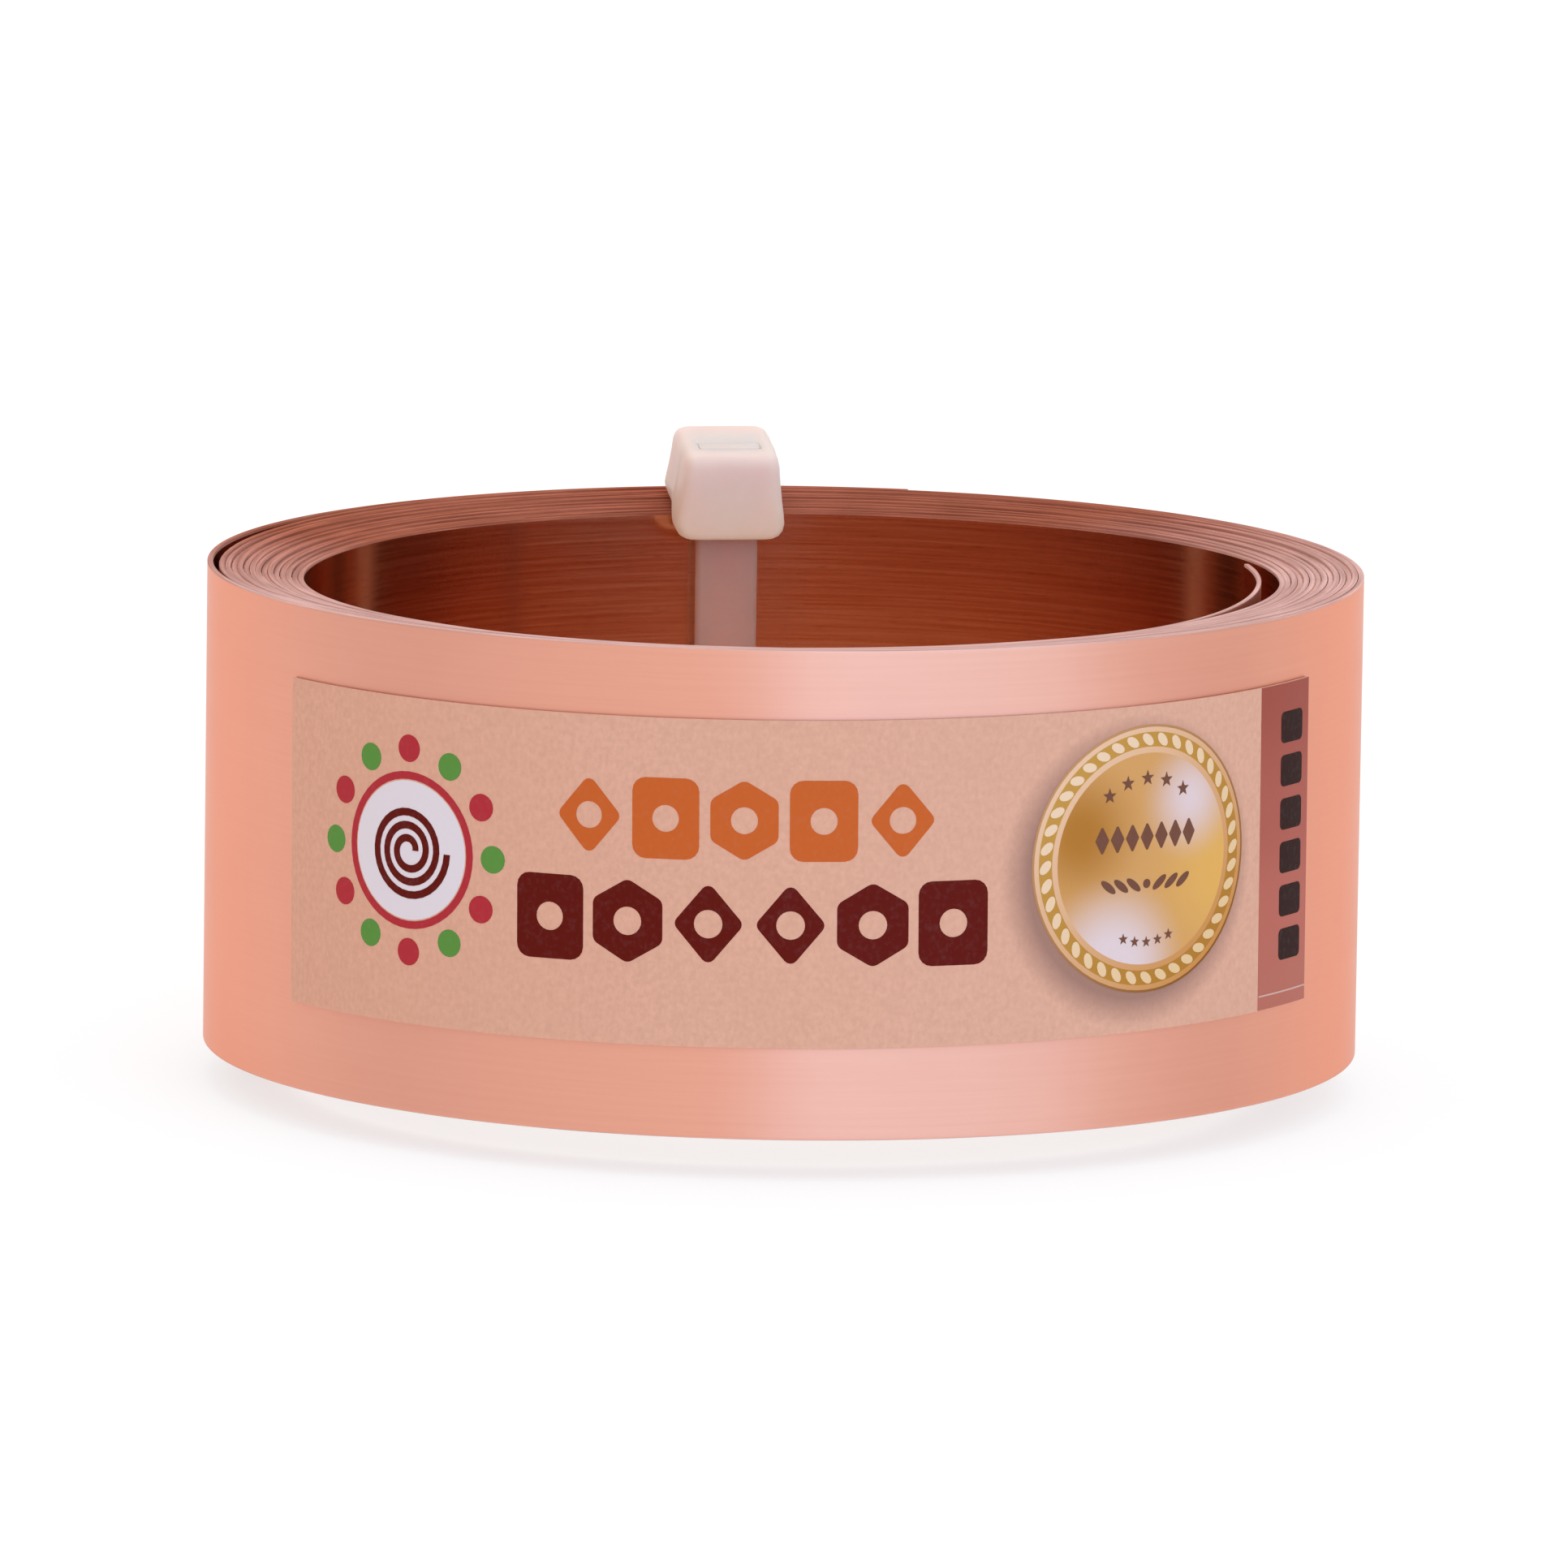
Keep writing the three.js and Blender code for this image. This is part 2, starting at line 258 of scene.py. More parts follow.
def lower_edge_at(angle):
    """Height of the strip's lower edge. The inner turns have slipped down."""
    turn = turn_at(angle)
    slip = clamped((turn - LEVEL_TURNS) / (LAST_TURN - LEVEL_TURNS))
    depth = DISH_MEAN + DISH_SWING * cos_deg(angle - DISH_DEEPEST) - DISH_OVAL * cos_deg(2 * angle)
    beneath_loose = (looseness_at(angle % 360) / LOOSE_GAP) ** 2 if turn > 1 else 0.0
    wave = EDGE_WAVE_HEIGHT * sin_deg(EDGE_WAVES * angle)
    ripple = EDGE_RIPPLE_HEIGHT * sin_deg(EDGE_RIPPLES * angle)
    settled = BASE_Z - depth * slip - LOOSE_STEP * beneath_loose
    return settled + (wave + ripple) * unevenness_at(angle)


def thickness_at(angle):
    """Turns pressed together are drawn thick enough to leave only hairlines between them."""
    free = max(OUTER_BEND - angle, angle - INNER_BEND) / FREE_WITHIN
    return mixed(PACKED_THICKNESS, STRIP_THICKNESS, smooth_step(free))


def outer_end_radius_at(angle):
    share = clamped((OUTER_BEND - angle) / (OUTER_BEND - OUTER_TIP))
    return coil_radius_at(angle) + OUTER_TIP_LIFT * share**2


def inner_end_radius_at(angle):
    share = clamped((angle - INNER_BEND) / (INNER_TIP - INNER_BEND))
    return coil_radius_at(angle) - INNER_END_LIFT * sin_deg(180 * INNER_END_BOW * share) ** 2


OUTER_SIDE, EDGE_SIDE, INNER_SIDE = 0, 1, 2  # places in the list of copper materials
STRIP_MAP = "along_strip"  # in millimetres


def strip_section(rows, thickness):
    """The strip's outline as (depth behind the outer face, height), and the kind of each side.

    The slitting knife's burr counts as edge, and reaches a little way onto the inner face.
    """
    far = thickness - EDGE_RADIUS
    top = STRIP_WIDTH - EDGE_RADIUS
    heights = [mixed(BURR_HEIGHT, STRIP_WIDTH - BURR_HEIGHT, row / (rows - 1)) for row in range(rows)]
    outer_face = [(0.0, height) for height in heights]
    upper_edge = arc((EDGE_RADIUS, top), EDGE_RADIUS, 180, 90, EDGE_STEPS)
    upper_edge += arc((far, top), EDGE_RADIUS, 90, 0, EDGE_STEPS)
    inner_face = [(thickness, height) for height in reversed(heights)]
    lower_edge = arc((far, EDGE_RADIUS), EDGE_RADIUS, 0, -90, EDGE_STEPS)
    lower_edge += arc((EDGE_RADIUS, EDGE_RADIUS), EDGE_RADIUS, -90, -180, EDGE_STEPS)
    outline = outer_face + upper_edge + inner_face + lower_edge
    kinds = [OUTER_SIDE] * rows + [EDGE_SIDE] * len(upper_edge)
    kinds += [INNER_SIDE] * (rows - 1) + [EDGE_SIDE] * len(lower_edge) + [OUTER_SIDE]
    return outline, kinds


def even_angles(start, end, step):
    count = max(1, math.ceil((end - start) / step))
    return [mixed(start, end, i / count) for i in range(count + 1)]


def round_axis(radius, angle, up):
    """The point at this distance from the coil's axis, this way round it and this high."""
    return Vector((AXIS.x + radius * cos_deg(angle), AXIS.y + radius * sin_deg(angle), up))


def wound_strip(name, start, end, radius_at, materials, rows=SEEN_ROWS, step=SEEN_STEP):
    """A stretch of the strip from one running angle to another."""
    angles = even_angles(start, end, step)
    loops = []
    for angle in angles:
        outline, kinds = strip_section(rows, thickness_at(angle))
        outer = radius_at(angle)
        bottom = lower_edge_at(angle)
        loops.append([round_axis(outer - depth, angle, bottom + height) for depth, height in outline])
    points, faces = loft(loops)
    face_kinds = kinds * (len(loops) - 1) + [EDGE_SIDE, EDGE_SIDE]
    piece = make_piece(name, points, faces, materials, face_kinds)
    lay_along_strip(piece.data, angles, outline)
    return piece


def lay_along_strip(mesh, angles, outline):
    """A map whose first direction runs along the strip and whose second runs round its outline."""
    count = len(outline)
    around = [0.0]
    for i in range(count):
        around.append(around[-1] + math.dist(outline[i], outline[(i + 1) % count]))
    layer = mesh.uv_layers.new(name=STRIP_MAP)
    for polygon in mesh.polygons:
        places = [divmod(mesh.loops[i].vertex_index, count) for i in polygon.loop_indices]
        wraps = len(places) == 4 and {0, count - 1} <= {side for span, side in places}
        for i, (span, side) in zip(polygon.loop_indices, places):
            along = math.radians(angles[span]) * COIL_RADIUS
            layer.data[i].uv = (along, around[count if wraps and side == 0 else side])


def copper_coil(materials):
    """The wound turns, in three lengths so that the faces in view get the finest mesh."""
    second_turn = OUTER_BEND + 360
    last_turn = INNER_BEND - 360
    outer = wound_strip("strip_outer_turn", OUTER_BEND, second_turn, coil_radius_at, materials)
    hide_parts("strip_coil")
    packed = wound_strip(
        "strip_packed_turns", second_turn, last_turn, coil_radius_at, materials, PACKED_ROWS, PACKED_STEP
    )
    inner = wound_strip("strip_inner_turn", last_turn, INNER_BEND, coil_radius_at, materials)
    for piece in (outer, packed, inner):
        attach(piece, "coil")


def copper_ends(materials):
    """The two free ends. Each curves away from the coil from its bend to its tip."""
    inner = wound_strip("strip_inner_tail", INNER_BEND, INNER_TIP, inner_end_radius_at, materials)
    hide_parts("strip_inner_end")
    bend_over(inner, "inner_end_flex")
    outer = wound_strip("strip_outer_tail", OUTER_TIP, OUTER_BEND, outer_end_radius_at, materials)
    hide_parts("strip_outer_end")
    bend_over(outer, "outer_end_lift")


def bend_over(piece, joint):
    start = joint_at[joint].copy()
    start.z = 0
    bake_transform(piece)


# ---------- label ----------


def label_radius_at(angle):
    return coil_radius_at(angle) + LABEL_GAP + LABEL_THICKNESS


def label_bottom_at(angle):
    share = (angle - LABEL_FROM) / (LABEL_TO - LABEL_FROM)
    return BASE_Z + LABEL_ABOVE_EDGE + LABEL_RISE * share


LABEL_ARC_RADIUS = label_radius_at((LABEL_FROM + LABEL_TO) / 2)
LABEL_LENGTH = math.radians(LABEL_TO - LABEL_FROM) * LABEL_ARC_RADIUS


def on_label(along, up, proud=0.0):
    """The point of the label this far along from its left end, up from its lower edge and proud."""
    along += LABEL_LEAN * (LABEL_HEIGHT - up)
    angle = LABEL_FROM + math.degrees(along / LABEL_ARC_RADIUS)
    return round_axis(label_radius_at(angle) + proud, angle, label_bottom_at(angle) + up)


def paper_label(material):
    rows = 12
    heights = [LABEL_HEIGHT * row / rows for row in range(rows + 1)]
    outline = [(0.0, height) for height in heights]
    outline += [(-LABEL_THICKNESS, height) for height in reversed(heights)]
    columns = 120
    loops = [
        [on_label(LABEL_LENGTH * column / columns, up, proud) for proud, up in outline]
        for column in range(columns + 1)
    ]
    points, faces = loft(loops)
    piece = make_piece("label_sheet", points, faces, [material])
    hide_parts("paper_label")
    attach(piece, "coil")


def printed(name, outlines, material, layer=0):
    """A film of ink on the label. Each outline is an outer loop followed by its holes."""
    shape = bmesh.new()
    for loops in outlines:
        flat = [[Vector((x, y, 0)) for x, y in loop] for loop in loops]
        corners = [shape.verts.new(point) for loop in flat for point in loop]
        for triangle in tessellate_polygon(flat):
            shape.faces.new([corners[i] for i in triangle])
    slice_upright(shape)
    bmesh.ops.recalc_face_normals(shape, faces=shape.faces)
    grown = bmesh.ops.extrude_face_region(shape, geom=list(shape.faces))
    for item in grown["geom"]:
        if isinstance(item, bmesh.types.BMVert):
            item.co.z = 1
    proud = INK_PROUD * (layer + 1)
    points = [on_label(v.co.x, v.co.y, mixed(-INK_SUNK, proud, v.co.z)) for v in shape.verts]
    shape.verts.index_update()
    faces = [[v.index for v in face.verts] for face in shape.faces]
    shape.free()
    piece = make_piece(name, points, faces, [material])
    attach(piece, "coil")
    return piece


def slice_upright(shape, step=1.0):
    """Cuts a flat shape into upright bands, so that it can bend round the coil."""
    low = min(v.co.x for v in shape.verts)
    high = max(v.co.x for v in shape.verts)
    for band in range(math.ceil(low / step), math.ceil(high / step)):
        geometry = list(shape.verts) + list(shape.edges) + list(shape.faces)
        bmesh.ops.bisect_plane(shape, geom=geometry, plane_co=(band * step, 0, 0), plane_no=(1, 0, 0))


def circle(centre, radius, steps=48):
    """Evenly spaced points all the way round."""
    return arc(centre, radius, 0, 360, steps)[:-1]


def ellipse(centre, across, along, turn, steps=12):
    """An ellipse with its long axis turned by an angle."""
    points = []
    for x, y in circle((0, 0), 1, steps):
        x, y = x * along, y * across
        points.append(
            (
                centre[0] + x * cos_deg(turn) - y * sin_deg(turn),
                centre[1] + x * sin_deg(turn) + y * cos_deg(turn),
            )
        )
    return points


def rounded_polygon(corners, radius, steps=4):
    """A convex outline, anticlockwise, with its corners rounded."""
    points = []
    for i, corner in enumerate(corners):
        here = Vector(corner)
        into = (here - Vector(corners[i - 1])).normalized()
        out = (Vector(corners[(i + 1) % len(corners)]) - here).normalized()
        turn = into.angle(out)
        cut = radius * math.tan(turn / 2)
        start = here - into * cut
        centre = start + Vector((-into.y, into.x)) * radius
        first = math.degrees(math.atan2(start.y - centre.y, start.x - centre.x))
        points += arc(centre, radius, first, first + math.degrees(turn), steps)
    return points


TILE = ((-1, -1), (1, -1), (1, 1), (-1, 1))  # corners in half widths and half heights
LOZENGE = ((0, -1), (1, 0), (0, 1), (-1, 0))
HEXAGON = ((0, -1), (1, -0.5), (1, 0.5), (0, 1), (-1, 0.5), (-1, -0.5))


def motif(corners, centre, width, height, radius):
    """A tile, lozenge or hexagon of this size, with its corners rounded."""
    places = [(centre[0] + x * width / 2, centre[1] + y * height / 2) for x, y in corners]
    return rounded_polygon(places, radius)


def star(centre, radius, waist=0.42):
    """A five-pointed star whose inner corners are at this share of its radius."""
    points = []
    for corner in range(10):
        reach = radius * (waist if corner % 2 else 1)
        angle = 90 + 36 * corner
        points.append((centre[0] + reach * cos_deg(angle), centre[1] + reach * sin_deg(angle)))
    return points


def spiral(centre, inner, outer, turns, width):
    """A band wound into a flat spiral."""
    steps = int(turns * 32)
    middle = [mixed(inner, outer, i / steps) for i in range(steps + 1)]
    angles = [360 * turns * i / steps for i in range(steps + 1)]

    def side(offset):
        return [
            (centre[0] + (r + offset) * cos_deg(a), centre[1] + (r + offset) * sin_deg(a))
            for r, a in zip(middle, angles)
        ]

    return side(width / 2) + side(-width / 2)[::-1]


# ---------- label art: plain ornament in place of the printed marks ----------

# Places are millimetres along the label from its left end and up from its lower edge
EMBLEM = (9.2, 9.05)
EMBLEM_RADIUS = 4.1
EMBLEM_LINE = 0.4
EMBLEM_GAP = 0.07
EMBLEM_SPIRAL = (0.45, 2.5, 3, 0.4)  # inner and outer radius, turns and line width
EMBLEM_BEADS = (5.3, 12, 0.72)  # distance from the middle, count and radius

ROW_ONE = (18.2, 38.0, 11.8, 3.5, 4.2)  # left, right, middle height, motif width and height
ROW_TWO = (15.95, 40.8, 6.4, 3.7, 4.4)
ROW_ONE_MOTIFS = (LOZENGE, TILE, HEXAGON, TILE, LOZENGE)
ROW_TWO_MOTIFS = (TILE, HEXAGON, LOZENGE, LOZENGE, HEXAGON, TILE)
MOTIF_ROUNDING = {TILE: 0.7, HEXAGON: 0.5, LOZENGE: 0.4}
MOTIF_EYE = 0.2  # radius, in motif widths

SEAL = (50.22, 9.0)
SEAL_RADIUS = 6.98
SEAL_RINGS = (  # name, outer and inner radius in seal radii, and ink
    ("seal_outline", 1.0, 0.982, "gold_rim"),
    ("seal_outer_line", 0.982, 0.945, "gold_line"),
    ("seal_rim", 0.945, 0.835, "gold_dark"),
    ("seal_inner_line", 0.835, 0.79, "gold_line"),
)
SEAL_FIELD = 0.79
SEAL_ROPE = (0.89, 40)  # radius in seal radii, and count of beads
ROPE_BEAD = (0.25, 0.43)  # half width and half length
ROPE_SLANT = 50
STAR_ARCS = ((4.2, 125, 55, 0.42), (4.35, 250, 290, 0.3))  # radius, from, to, and star radius
STAR_GAPS = 4
LOZENGE_ROW = (1.15, 0.95, 3, 0.85, 1.55)  # above the middle, pitch, count each side, width, height
SPRIG_ROW = (-1.3, 0.85, 0.8, 3)  # above the middle, first leaf, pitch, count each side
SPRIG_DOT = 0.24
SPRIG_LEAF = (0.2, 0.55)  # half width and half length
LEAF_SLANT = 38
SEAL_SHADOW = (-0.55, -0.6)  # its middle, from the seal's
SEAL_SHADOW_FADE = (6.6, 8.2)  # radii between which it fades out

BAND_FROM = 58.8
BAND_MARGIN = 0.02
BAND_MARKS = (61.8, 2.1, 15.8, 6)  # middle, lowest, highest and count
MARK_WIDTH = 2.2
MARK_SHARE = 0.72  # height of a mark, in its pitch
BAND_LINE = (0.75, 0.09)  # height above the lower edge, and width


def label_emblem(inks):
    """A ring of beads round a disc with a spiral."""
    reach, count, radius = EMBLEM_BEADS
    beads = [[circle(at, radius, 20)] for at in circle(EMBLEM, reach, count)]
    printed("emblem_beads_green", beads[::2], inks["green"])
    printed("emblem_beads_red", beads[1::2], inks["red"])
    inside = EMBLEM_RADIUS - EMBLEM_LINE
    printed("emblem_ring", [[circle(EMBLEM, EMBLEM_RADIUS), circle(EMBLEM, inside)]], inks["red"])
    printed("emblem_disc", [[circle(EMBLEM, inside - EMBLEM_GAP)]], inks["white"])
    printed("emblem_coil", [[spiral(EMBLEM, *EMBLEM_SPIRAL)]], inks["maroon"], layer=1)


def ornament_row(name, row, motifs, material):
    """A row of plain motifs with round eyes, evenly spaced between its ends."""
    left, right, middle, width, height = row
    pitch = (right - left - width) / (len(motifs) - 1)
    outlines = []
    for i, corners in enumerate(motifs):
        centre = (left + width / 2 + pitch * i, middle)
        eye = circle(centre, MOTIF_EYE * width, 24)[::-1]
        outlines.append([motif(corners, centre, width, height, MOTIF_ROUNDING[corners]), eye])
    printed(name, outlines, material)


def label_seal(inks):
    """A round badge: a roped rim between two bright lines, round a field with stars and lozenges."""
    for name, outer, inner, tone in SEAL_RINGS:
        ring = [circle(SEAL, outer * SEAL_RADIUS, 72), circle(SEAL, inner * SEAL_RADIUS, 72)[::-1]]
        printed(name, [ring], inks[tone])
    share, count = SEAL_ROPE
    rope = []
    for i, at in enumerate(circle(SEAL, share * SEAL_RADIUS, count)):
        rope.append([ellipse(at, *ROPE_BEAD, 360 * i / count + ROPE_SLANT)])
    printed("seal_rope", rope, inks["gold_bead"], layer=1)
    printed("seal_field", [[circle(SEAL, SEAL_FIELD * SEAL_RADIUS, 72)]], inks["gold_field"])
    stars = []
    for radius, start, end, size in STAR_ARCS:
        stars += [[star(at, size)] for at in arc(SEAL, radius, start, end, STAR_GAPS)]
    printed("seal_stars", stars, inks["brown"], layer=1)
    above, pitch, each_side, width, height = LOZENGE_ROW
    centres = [(SEAL[0] + pitch * i, SEAL[1] + above) for i in range(-each_side, each_side + 1)]
    lozenges = [[motif(LOZENGE, centre, width, height, 0.08)] for centre in centres]
    printed("seal_lozenges", lozenges, inks["brown"], layer=1)
    above, first, pitch, each_side = SPRIG_ROW
    sprig = [[circle((SEAL[0], SEAL[1] + above), SPRIG_DOT, 16)]]
    for i in range(each_side):
        for side in (-1, 1):
            centre = (SEAL[0] + side * (first + pitch * i), SEAL[1] + above)
            sprig.append([ellipse(centre, *SPRIG_LEAF, side * LEAF_SLANT, 16)])
    printed("seal_sprig", sprig, inks["brown"], layer=1)


def label_band(inks):
    """A copper-coloured band across the label's right end, with a column of dark tiles."""
    left, right = BAND_FROM, LABEL_LENGTH - BAND_MARGIN
    low, high = BAND_MARGIN, LABEL_HEIGHT - BAND_MARGIN
    printed("band_panel", [[[(left, low), (right, low), (right, high), (left, high)]]], inks["band"])
    middle, lowest, highest, count = BAND_MARKS
    pitch = (highest - lowest) / count
    marks = []
    for i in range(count):
        centre = (middle, lowest + pitch * (i + 0.5))
        marks.append([motif(TILE, centre, MARK_WIDTH, MARK_SHARE * pitch, 0.3)])
    printed("band_marks", marks, inks["black"], layer=1)
    height, width = BAND_LINE
    centre = ((BAND_FROM + LABEL_LENGTH) / 2, height)
    line = motif(TILE, centre, LABEL_LENGTH - BAND_FROM - 0.1, width, 0.03)
    printed("band_line", [[line]], inks["pale"], layer=1)


# ---------- cable tie ----------


def tie_point(out, across, up):
    turned = Vector((cos_deg(TIE_ANGLE), sin_deg(TIE_ANGLE), 0))
    sideways = Vector((-turned.y, turned.x, 0))
    return Vector((AXIS.x, AXIS.y, up)) + turned * out + sideways * across


def from_head(x, z):
    """A point of the tie's plane, from a point in its head's frame."""
    middle = STRAP_INNER_FACE - STRAP_THICKNESS / 2
    return Vector(
        (
            middle + x * cos_deg(RIM_SLOPE) - z * sin_deg(RIM_SLOPE),
            RIM_Z + HEAD_ABOVE_RIM + x * sin_deg(RIM_SLOPE) + z * cos_deg(RIM_SLOPE),
        )
    )


def left_of(heading):
    return Vector((-math.sin(heading), math.cos(heading)))


def heading_to(start, end):
    return math.atan2(end.y - start.y, end.x - start.x)


def rounded_route(corners, radii):
    """Points and headings along straight runs whose corners are rounded."""
    route = [(corners[0], heading_to(corners[0], corners[1]))]
    for i, radius in enumerate(radii):
        before = heading_to(corners[i], corners[i + 1])
        change = heading_to(corners[i + 1], corners[i + 2]) - before
        turn = math.atan2(math.sin(change), math.cos(change))
        side = math.copysign(radius, turn)
        cut = radius * math.tan(abs(turn) / 2)
        start = corners[i + 1] - Vector((math.cos(before), math.sin(before))) * cut
        centre = start + left_of(before) * side
        for step in range(BEND_STEPS + 1):
            heading = before + turn * step / BEND_STEPS
            route.append((centre - left_of(heading) * side, heading))
    route.append((corners[-1], heading_to(corners[-2], corners[-1])))
    return route


def tooth_depth_at(up):
    """Depth of the sawtooth cut at a height on the strap's run inside the coil."""
    place = up - FIRST_TOOTH_Z
    if not 0 <= place < TOOTH_COUNT * TOOTH_PITCH:
        return 0.0
    within = place % TOOTH_PITCH
    if within < TOOTH_LEDGE:
        return TOOTH_DEPTH * (1 - within / TOOTH_LEDGE)
    return TOOTH_DEPTH * (within - TOOTH_LEDGE) / (TOOTH_PITCH - TOOTH_LEDGE)


def strap_route():
    """From the head's back over the rim, down outside, under the coil and up into the slot."""
    half = STRAP_THICKNESS / 2
    slope = math.tan(math.radians(RIM_SLOPE))
    start = from_head(HEAD_BACK - STRAP_ROOT, half + RIM_CLEARANCE)
    outer = STRAP_OUTER_FACE + half
    inner = STRAP_INNER_FACE - half
    corners = [
        start,
        Vector((outer, start.y + (outer - start.x) * slope)),
        Vector((outer, half)),
        Vector((inner, half)),
        from_head(0, 0),
        from_head(0, HEAD_TOP),
    ]
    route = rounded_route(corners, STRAP_BENDS)
    toothed = []
    for tooth in range(TOOTH_COUNT):
        for up in (0, TOOTH_LEDGE, (TOOTH_PITCH + TOOTH_LEDGE) / 2, TOOTH_PITCH - 0.02):
            toothed.append((Vector((inner, FIRST_TOOTH_Z + tooth * TOOTH_PITCH + up)), math.pi / 2))
    before_teeth = 1 + 3 * (BEND_STEPS + 1)
    return route[:before_teeth] + toothed + route[before_teeth:]


def strap_section(tooth):
    """The strap's outline as (offset from its middle, across). A band of teeth is sunk behind."""
    half = STRAP_THICKNESS / 2
    side = STRAP_WIDTH / 2
    flat = half - STRAP_CORNER
    straight = side - STRAP_CORNER
    rail = side - RAIL_WIDTH
    floor = -half + tooth
    front = arc((flat, straight), STRAP_CORNER, 90, 0, 4)
    front += arc((flat, -straight), STRAP_CORNER, 0, -90, 4)
    back = arc((-flat, -straight), STRAP_CORNER, -90, -180, 4)
    back += [(-half, -rail), (floor, RAIL_SLANT - rail)]
    back += [(floor, rail - RAIL_SLANT), (-half, rail)]
    back += arc((-flat, straight), STRAP_CORNER, 180, 90, 4)
    return front + back


def tie_strap(materials):
    """The toothed strap. It looks clearer where it hangs free inside the dark coil."""
    loops = []
    clear = []
    for point, heading in strap_route():
        inside = abs(point.x - (STRAP_INNER_FACE - STRAP_THICKNESS / 2)) < 0.01
        tooth = tooth_depth_at(point.y) if inside else 0.0
        clear.append(point.x < STRAP_INNER_FACE and point.y < RIM_Z)
        loop = []
        for offset, across in strap_section(tooth):
            place = point + left_of(heading) * offset
            loop.append(tie_point(place.x, across, place.y))
        loops.append(loop)
    points, faces = loft(loops)
    kinds = [0 if here and there else 1 for here, there in zip(clear, clear[1:]) for _ in loops[0]]
    kinds += [1, 1]
    piece = make_piece("tie_band", points, faces, materials, kinds, sharp_angle=50)
    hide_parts("tie_strap")
    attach(piece, "tie")


HEAD_POINTS = 144
HEAD_SQUARENESS = 9
SLOT_SQUARENESS = 18
HEAD_SIDES = (  # height, inset from the front and back, half width
    (HEAD_BOTTOM, 0.50, 2.26),
    (HEAD_BOTTOM + 0.08, 0.26, 2.54),
    (HEAD_BOTTOM + 0.24, 0.10, 2.77),
    (HEAD_BOTTOM + 0.50, 0.02, 2.93),
    (HEAD_BOTTOM + 0.85, 0.0, 3.00),
    (HEAD_BOTTOM + 1.40, 0.0, 2.94),
    (HEAD_BOTTOM + 2.20, 0.0, 2.82),
    (HEAD_BOTTOM + 3.20, 0.0, 2.70),
    (HEAD_TOP - 0.75, 0.02, 2.62),
    (HEAD_TOP - 0.42, 0.08, 2.54),
    (HEAD_TOP - 0.18, 0.20, 2.41),
    (HEAD_TOP - 0.05, 0.38, 2.24),
    (HEAD_TOP, 0.60, 2.03),
)
SLOT_SIDES = (  # height, front, back, half width: a lip at the top covers the pawl
    (HEAD_TOP, -0.60, 0.66, 1.70),
    (HEAD_TOP - 0.06, -0.57, 0.60, 1.67),
    (HEAD_TOP - 0.45, -0.57, 0.60, 1.67),
    (HEAD_TOP - 0.55, SLOT_FRONT, SLOT_BACK, SLOT_WIDTH / 2),
    (HEAD_BOTTOM + 0.4, SLOT_FRONT, SLOT_BACK, SLOT_WIDTH / 2),
    (HEAD_BOTTOM + 0.1, SLOT_FRONT - 0.05, SLOT_BACK + 0.05, SLOT_WIDTH / 2 + 0.05),
)


def squared_circle(front, back, half_width, squareness):
    """A loop in the head's frame, between a circle and a rectangle, as (x, across)."""
    middle, reach = (front + back) / 2, (back - front) / 2
    loop = []
    for i in range(HEAD_POINTS):
        angle = 360 * (i + 0.5) / HEAD_POINTS
        x, y = cos_deg(angle), sin_deg(angle)
        size = (abs(x) ** squareness + abs(y) ** squareness) ** (-1 / squareness)
        loop.append((middle + reach * x * size, half_width * y * size))
    return loop


def head_loop(height, front, back, half_width, squareness):
    """A level loop round the head. Behind its heel the head is stepped up onto the rim."""
    loop = []
    for x, across in squared_circle(front, back, half_width, squareness):
        heel = smooth_step((x - HEEL_FRONT) / HEEL_RAMP + 1)
        lowest = mixed(HEAD_BOTTOM, 0.0, heel)
        share = (height - HEAD_BOTTOM) / (HEAD_TOP - HEAD_BOTTOM)
        place = from_head(x, mixed(lowest, HEAD_TOP, share))
        loop.append(tie_point(place.x, across, place.y))
    return loop


def tie_head(material):
    loops = [
        head_loop(height, HEAD_FRONT + inset, HEAD_BACK - inset, half_width, HEAD_SQUARENESS)
        for height, inset, half_width in HEAD_SIDES
    ]
    loops += [
        head_loop(height, front, back, half_width, SLOT_SQUARENESS)
        for height, front, back, half_width in SLOT_SIDES
    ]
    points, faces = loft(loops, ends_meet=True)
    piece = make_piece("tie_lock_head", points, faces, [material], sharp_angle=60)
    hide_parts("tie_head")
    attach(piece, "tie")


# ---------- materials ----------


def rgb(red, green, blue):
    return (red, green, blue, 1.0)


class Nodes:
    """A node tree whose nodes are added and joined one call at a time."""

    def __init__(self, tree):
        self.tree = tree

    def fill(self, socket, value):
        if isinstance(value, bpy.types.NodeSocket):
            self.tree.links.new(value, socket)
        else:
            socket.default_value = value

    def node(self, kind, inputs=None, **settings):
        made = self.tree.nodes.new(kind)
        for name, value in settings.items():
            setattr(made, name, value)
        for name, value in (inputs or {}).items():
            self.fill(made.inputs[name], value)
        return made

    def spread(self, value, low, high, to_low=0.0, to_high=1.0, shape="LINEAR"):
        inputs = {"Value": value, "From Min": low, "From Max": high, "To Min": to_low, "To Max": to_high}
        return self.node("ShaderNodeMapRange", inputs, interpolation_type=shape).outputs["Result"]

    def mix(self, share, first, second, blend="MIX"):
        inputs = {0: share, 6: first, 7: second}
        return self.node("ShaderNodeMix", inputs, data_type="RGBA", blend_type=blend).outputs[2]

    def ramp(self, share, stops):
        """A smooth run of colours, given as (share, colour) pairs from low to high."""
        made = self.node("ShaderNodeValToRGB", {"Fac": share})
        made.color_ramp.interpolation = "EASE"
        while len(made.color_ramp.elements) < len(stops):
            made.color_ramp.elements.new(0.5)
        for element, (position, colour) in zip(made.color_ramp.elements, stops):
            element.position = position
            element.color = colour
        return made.outputs["Color"]


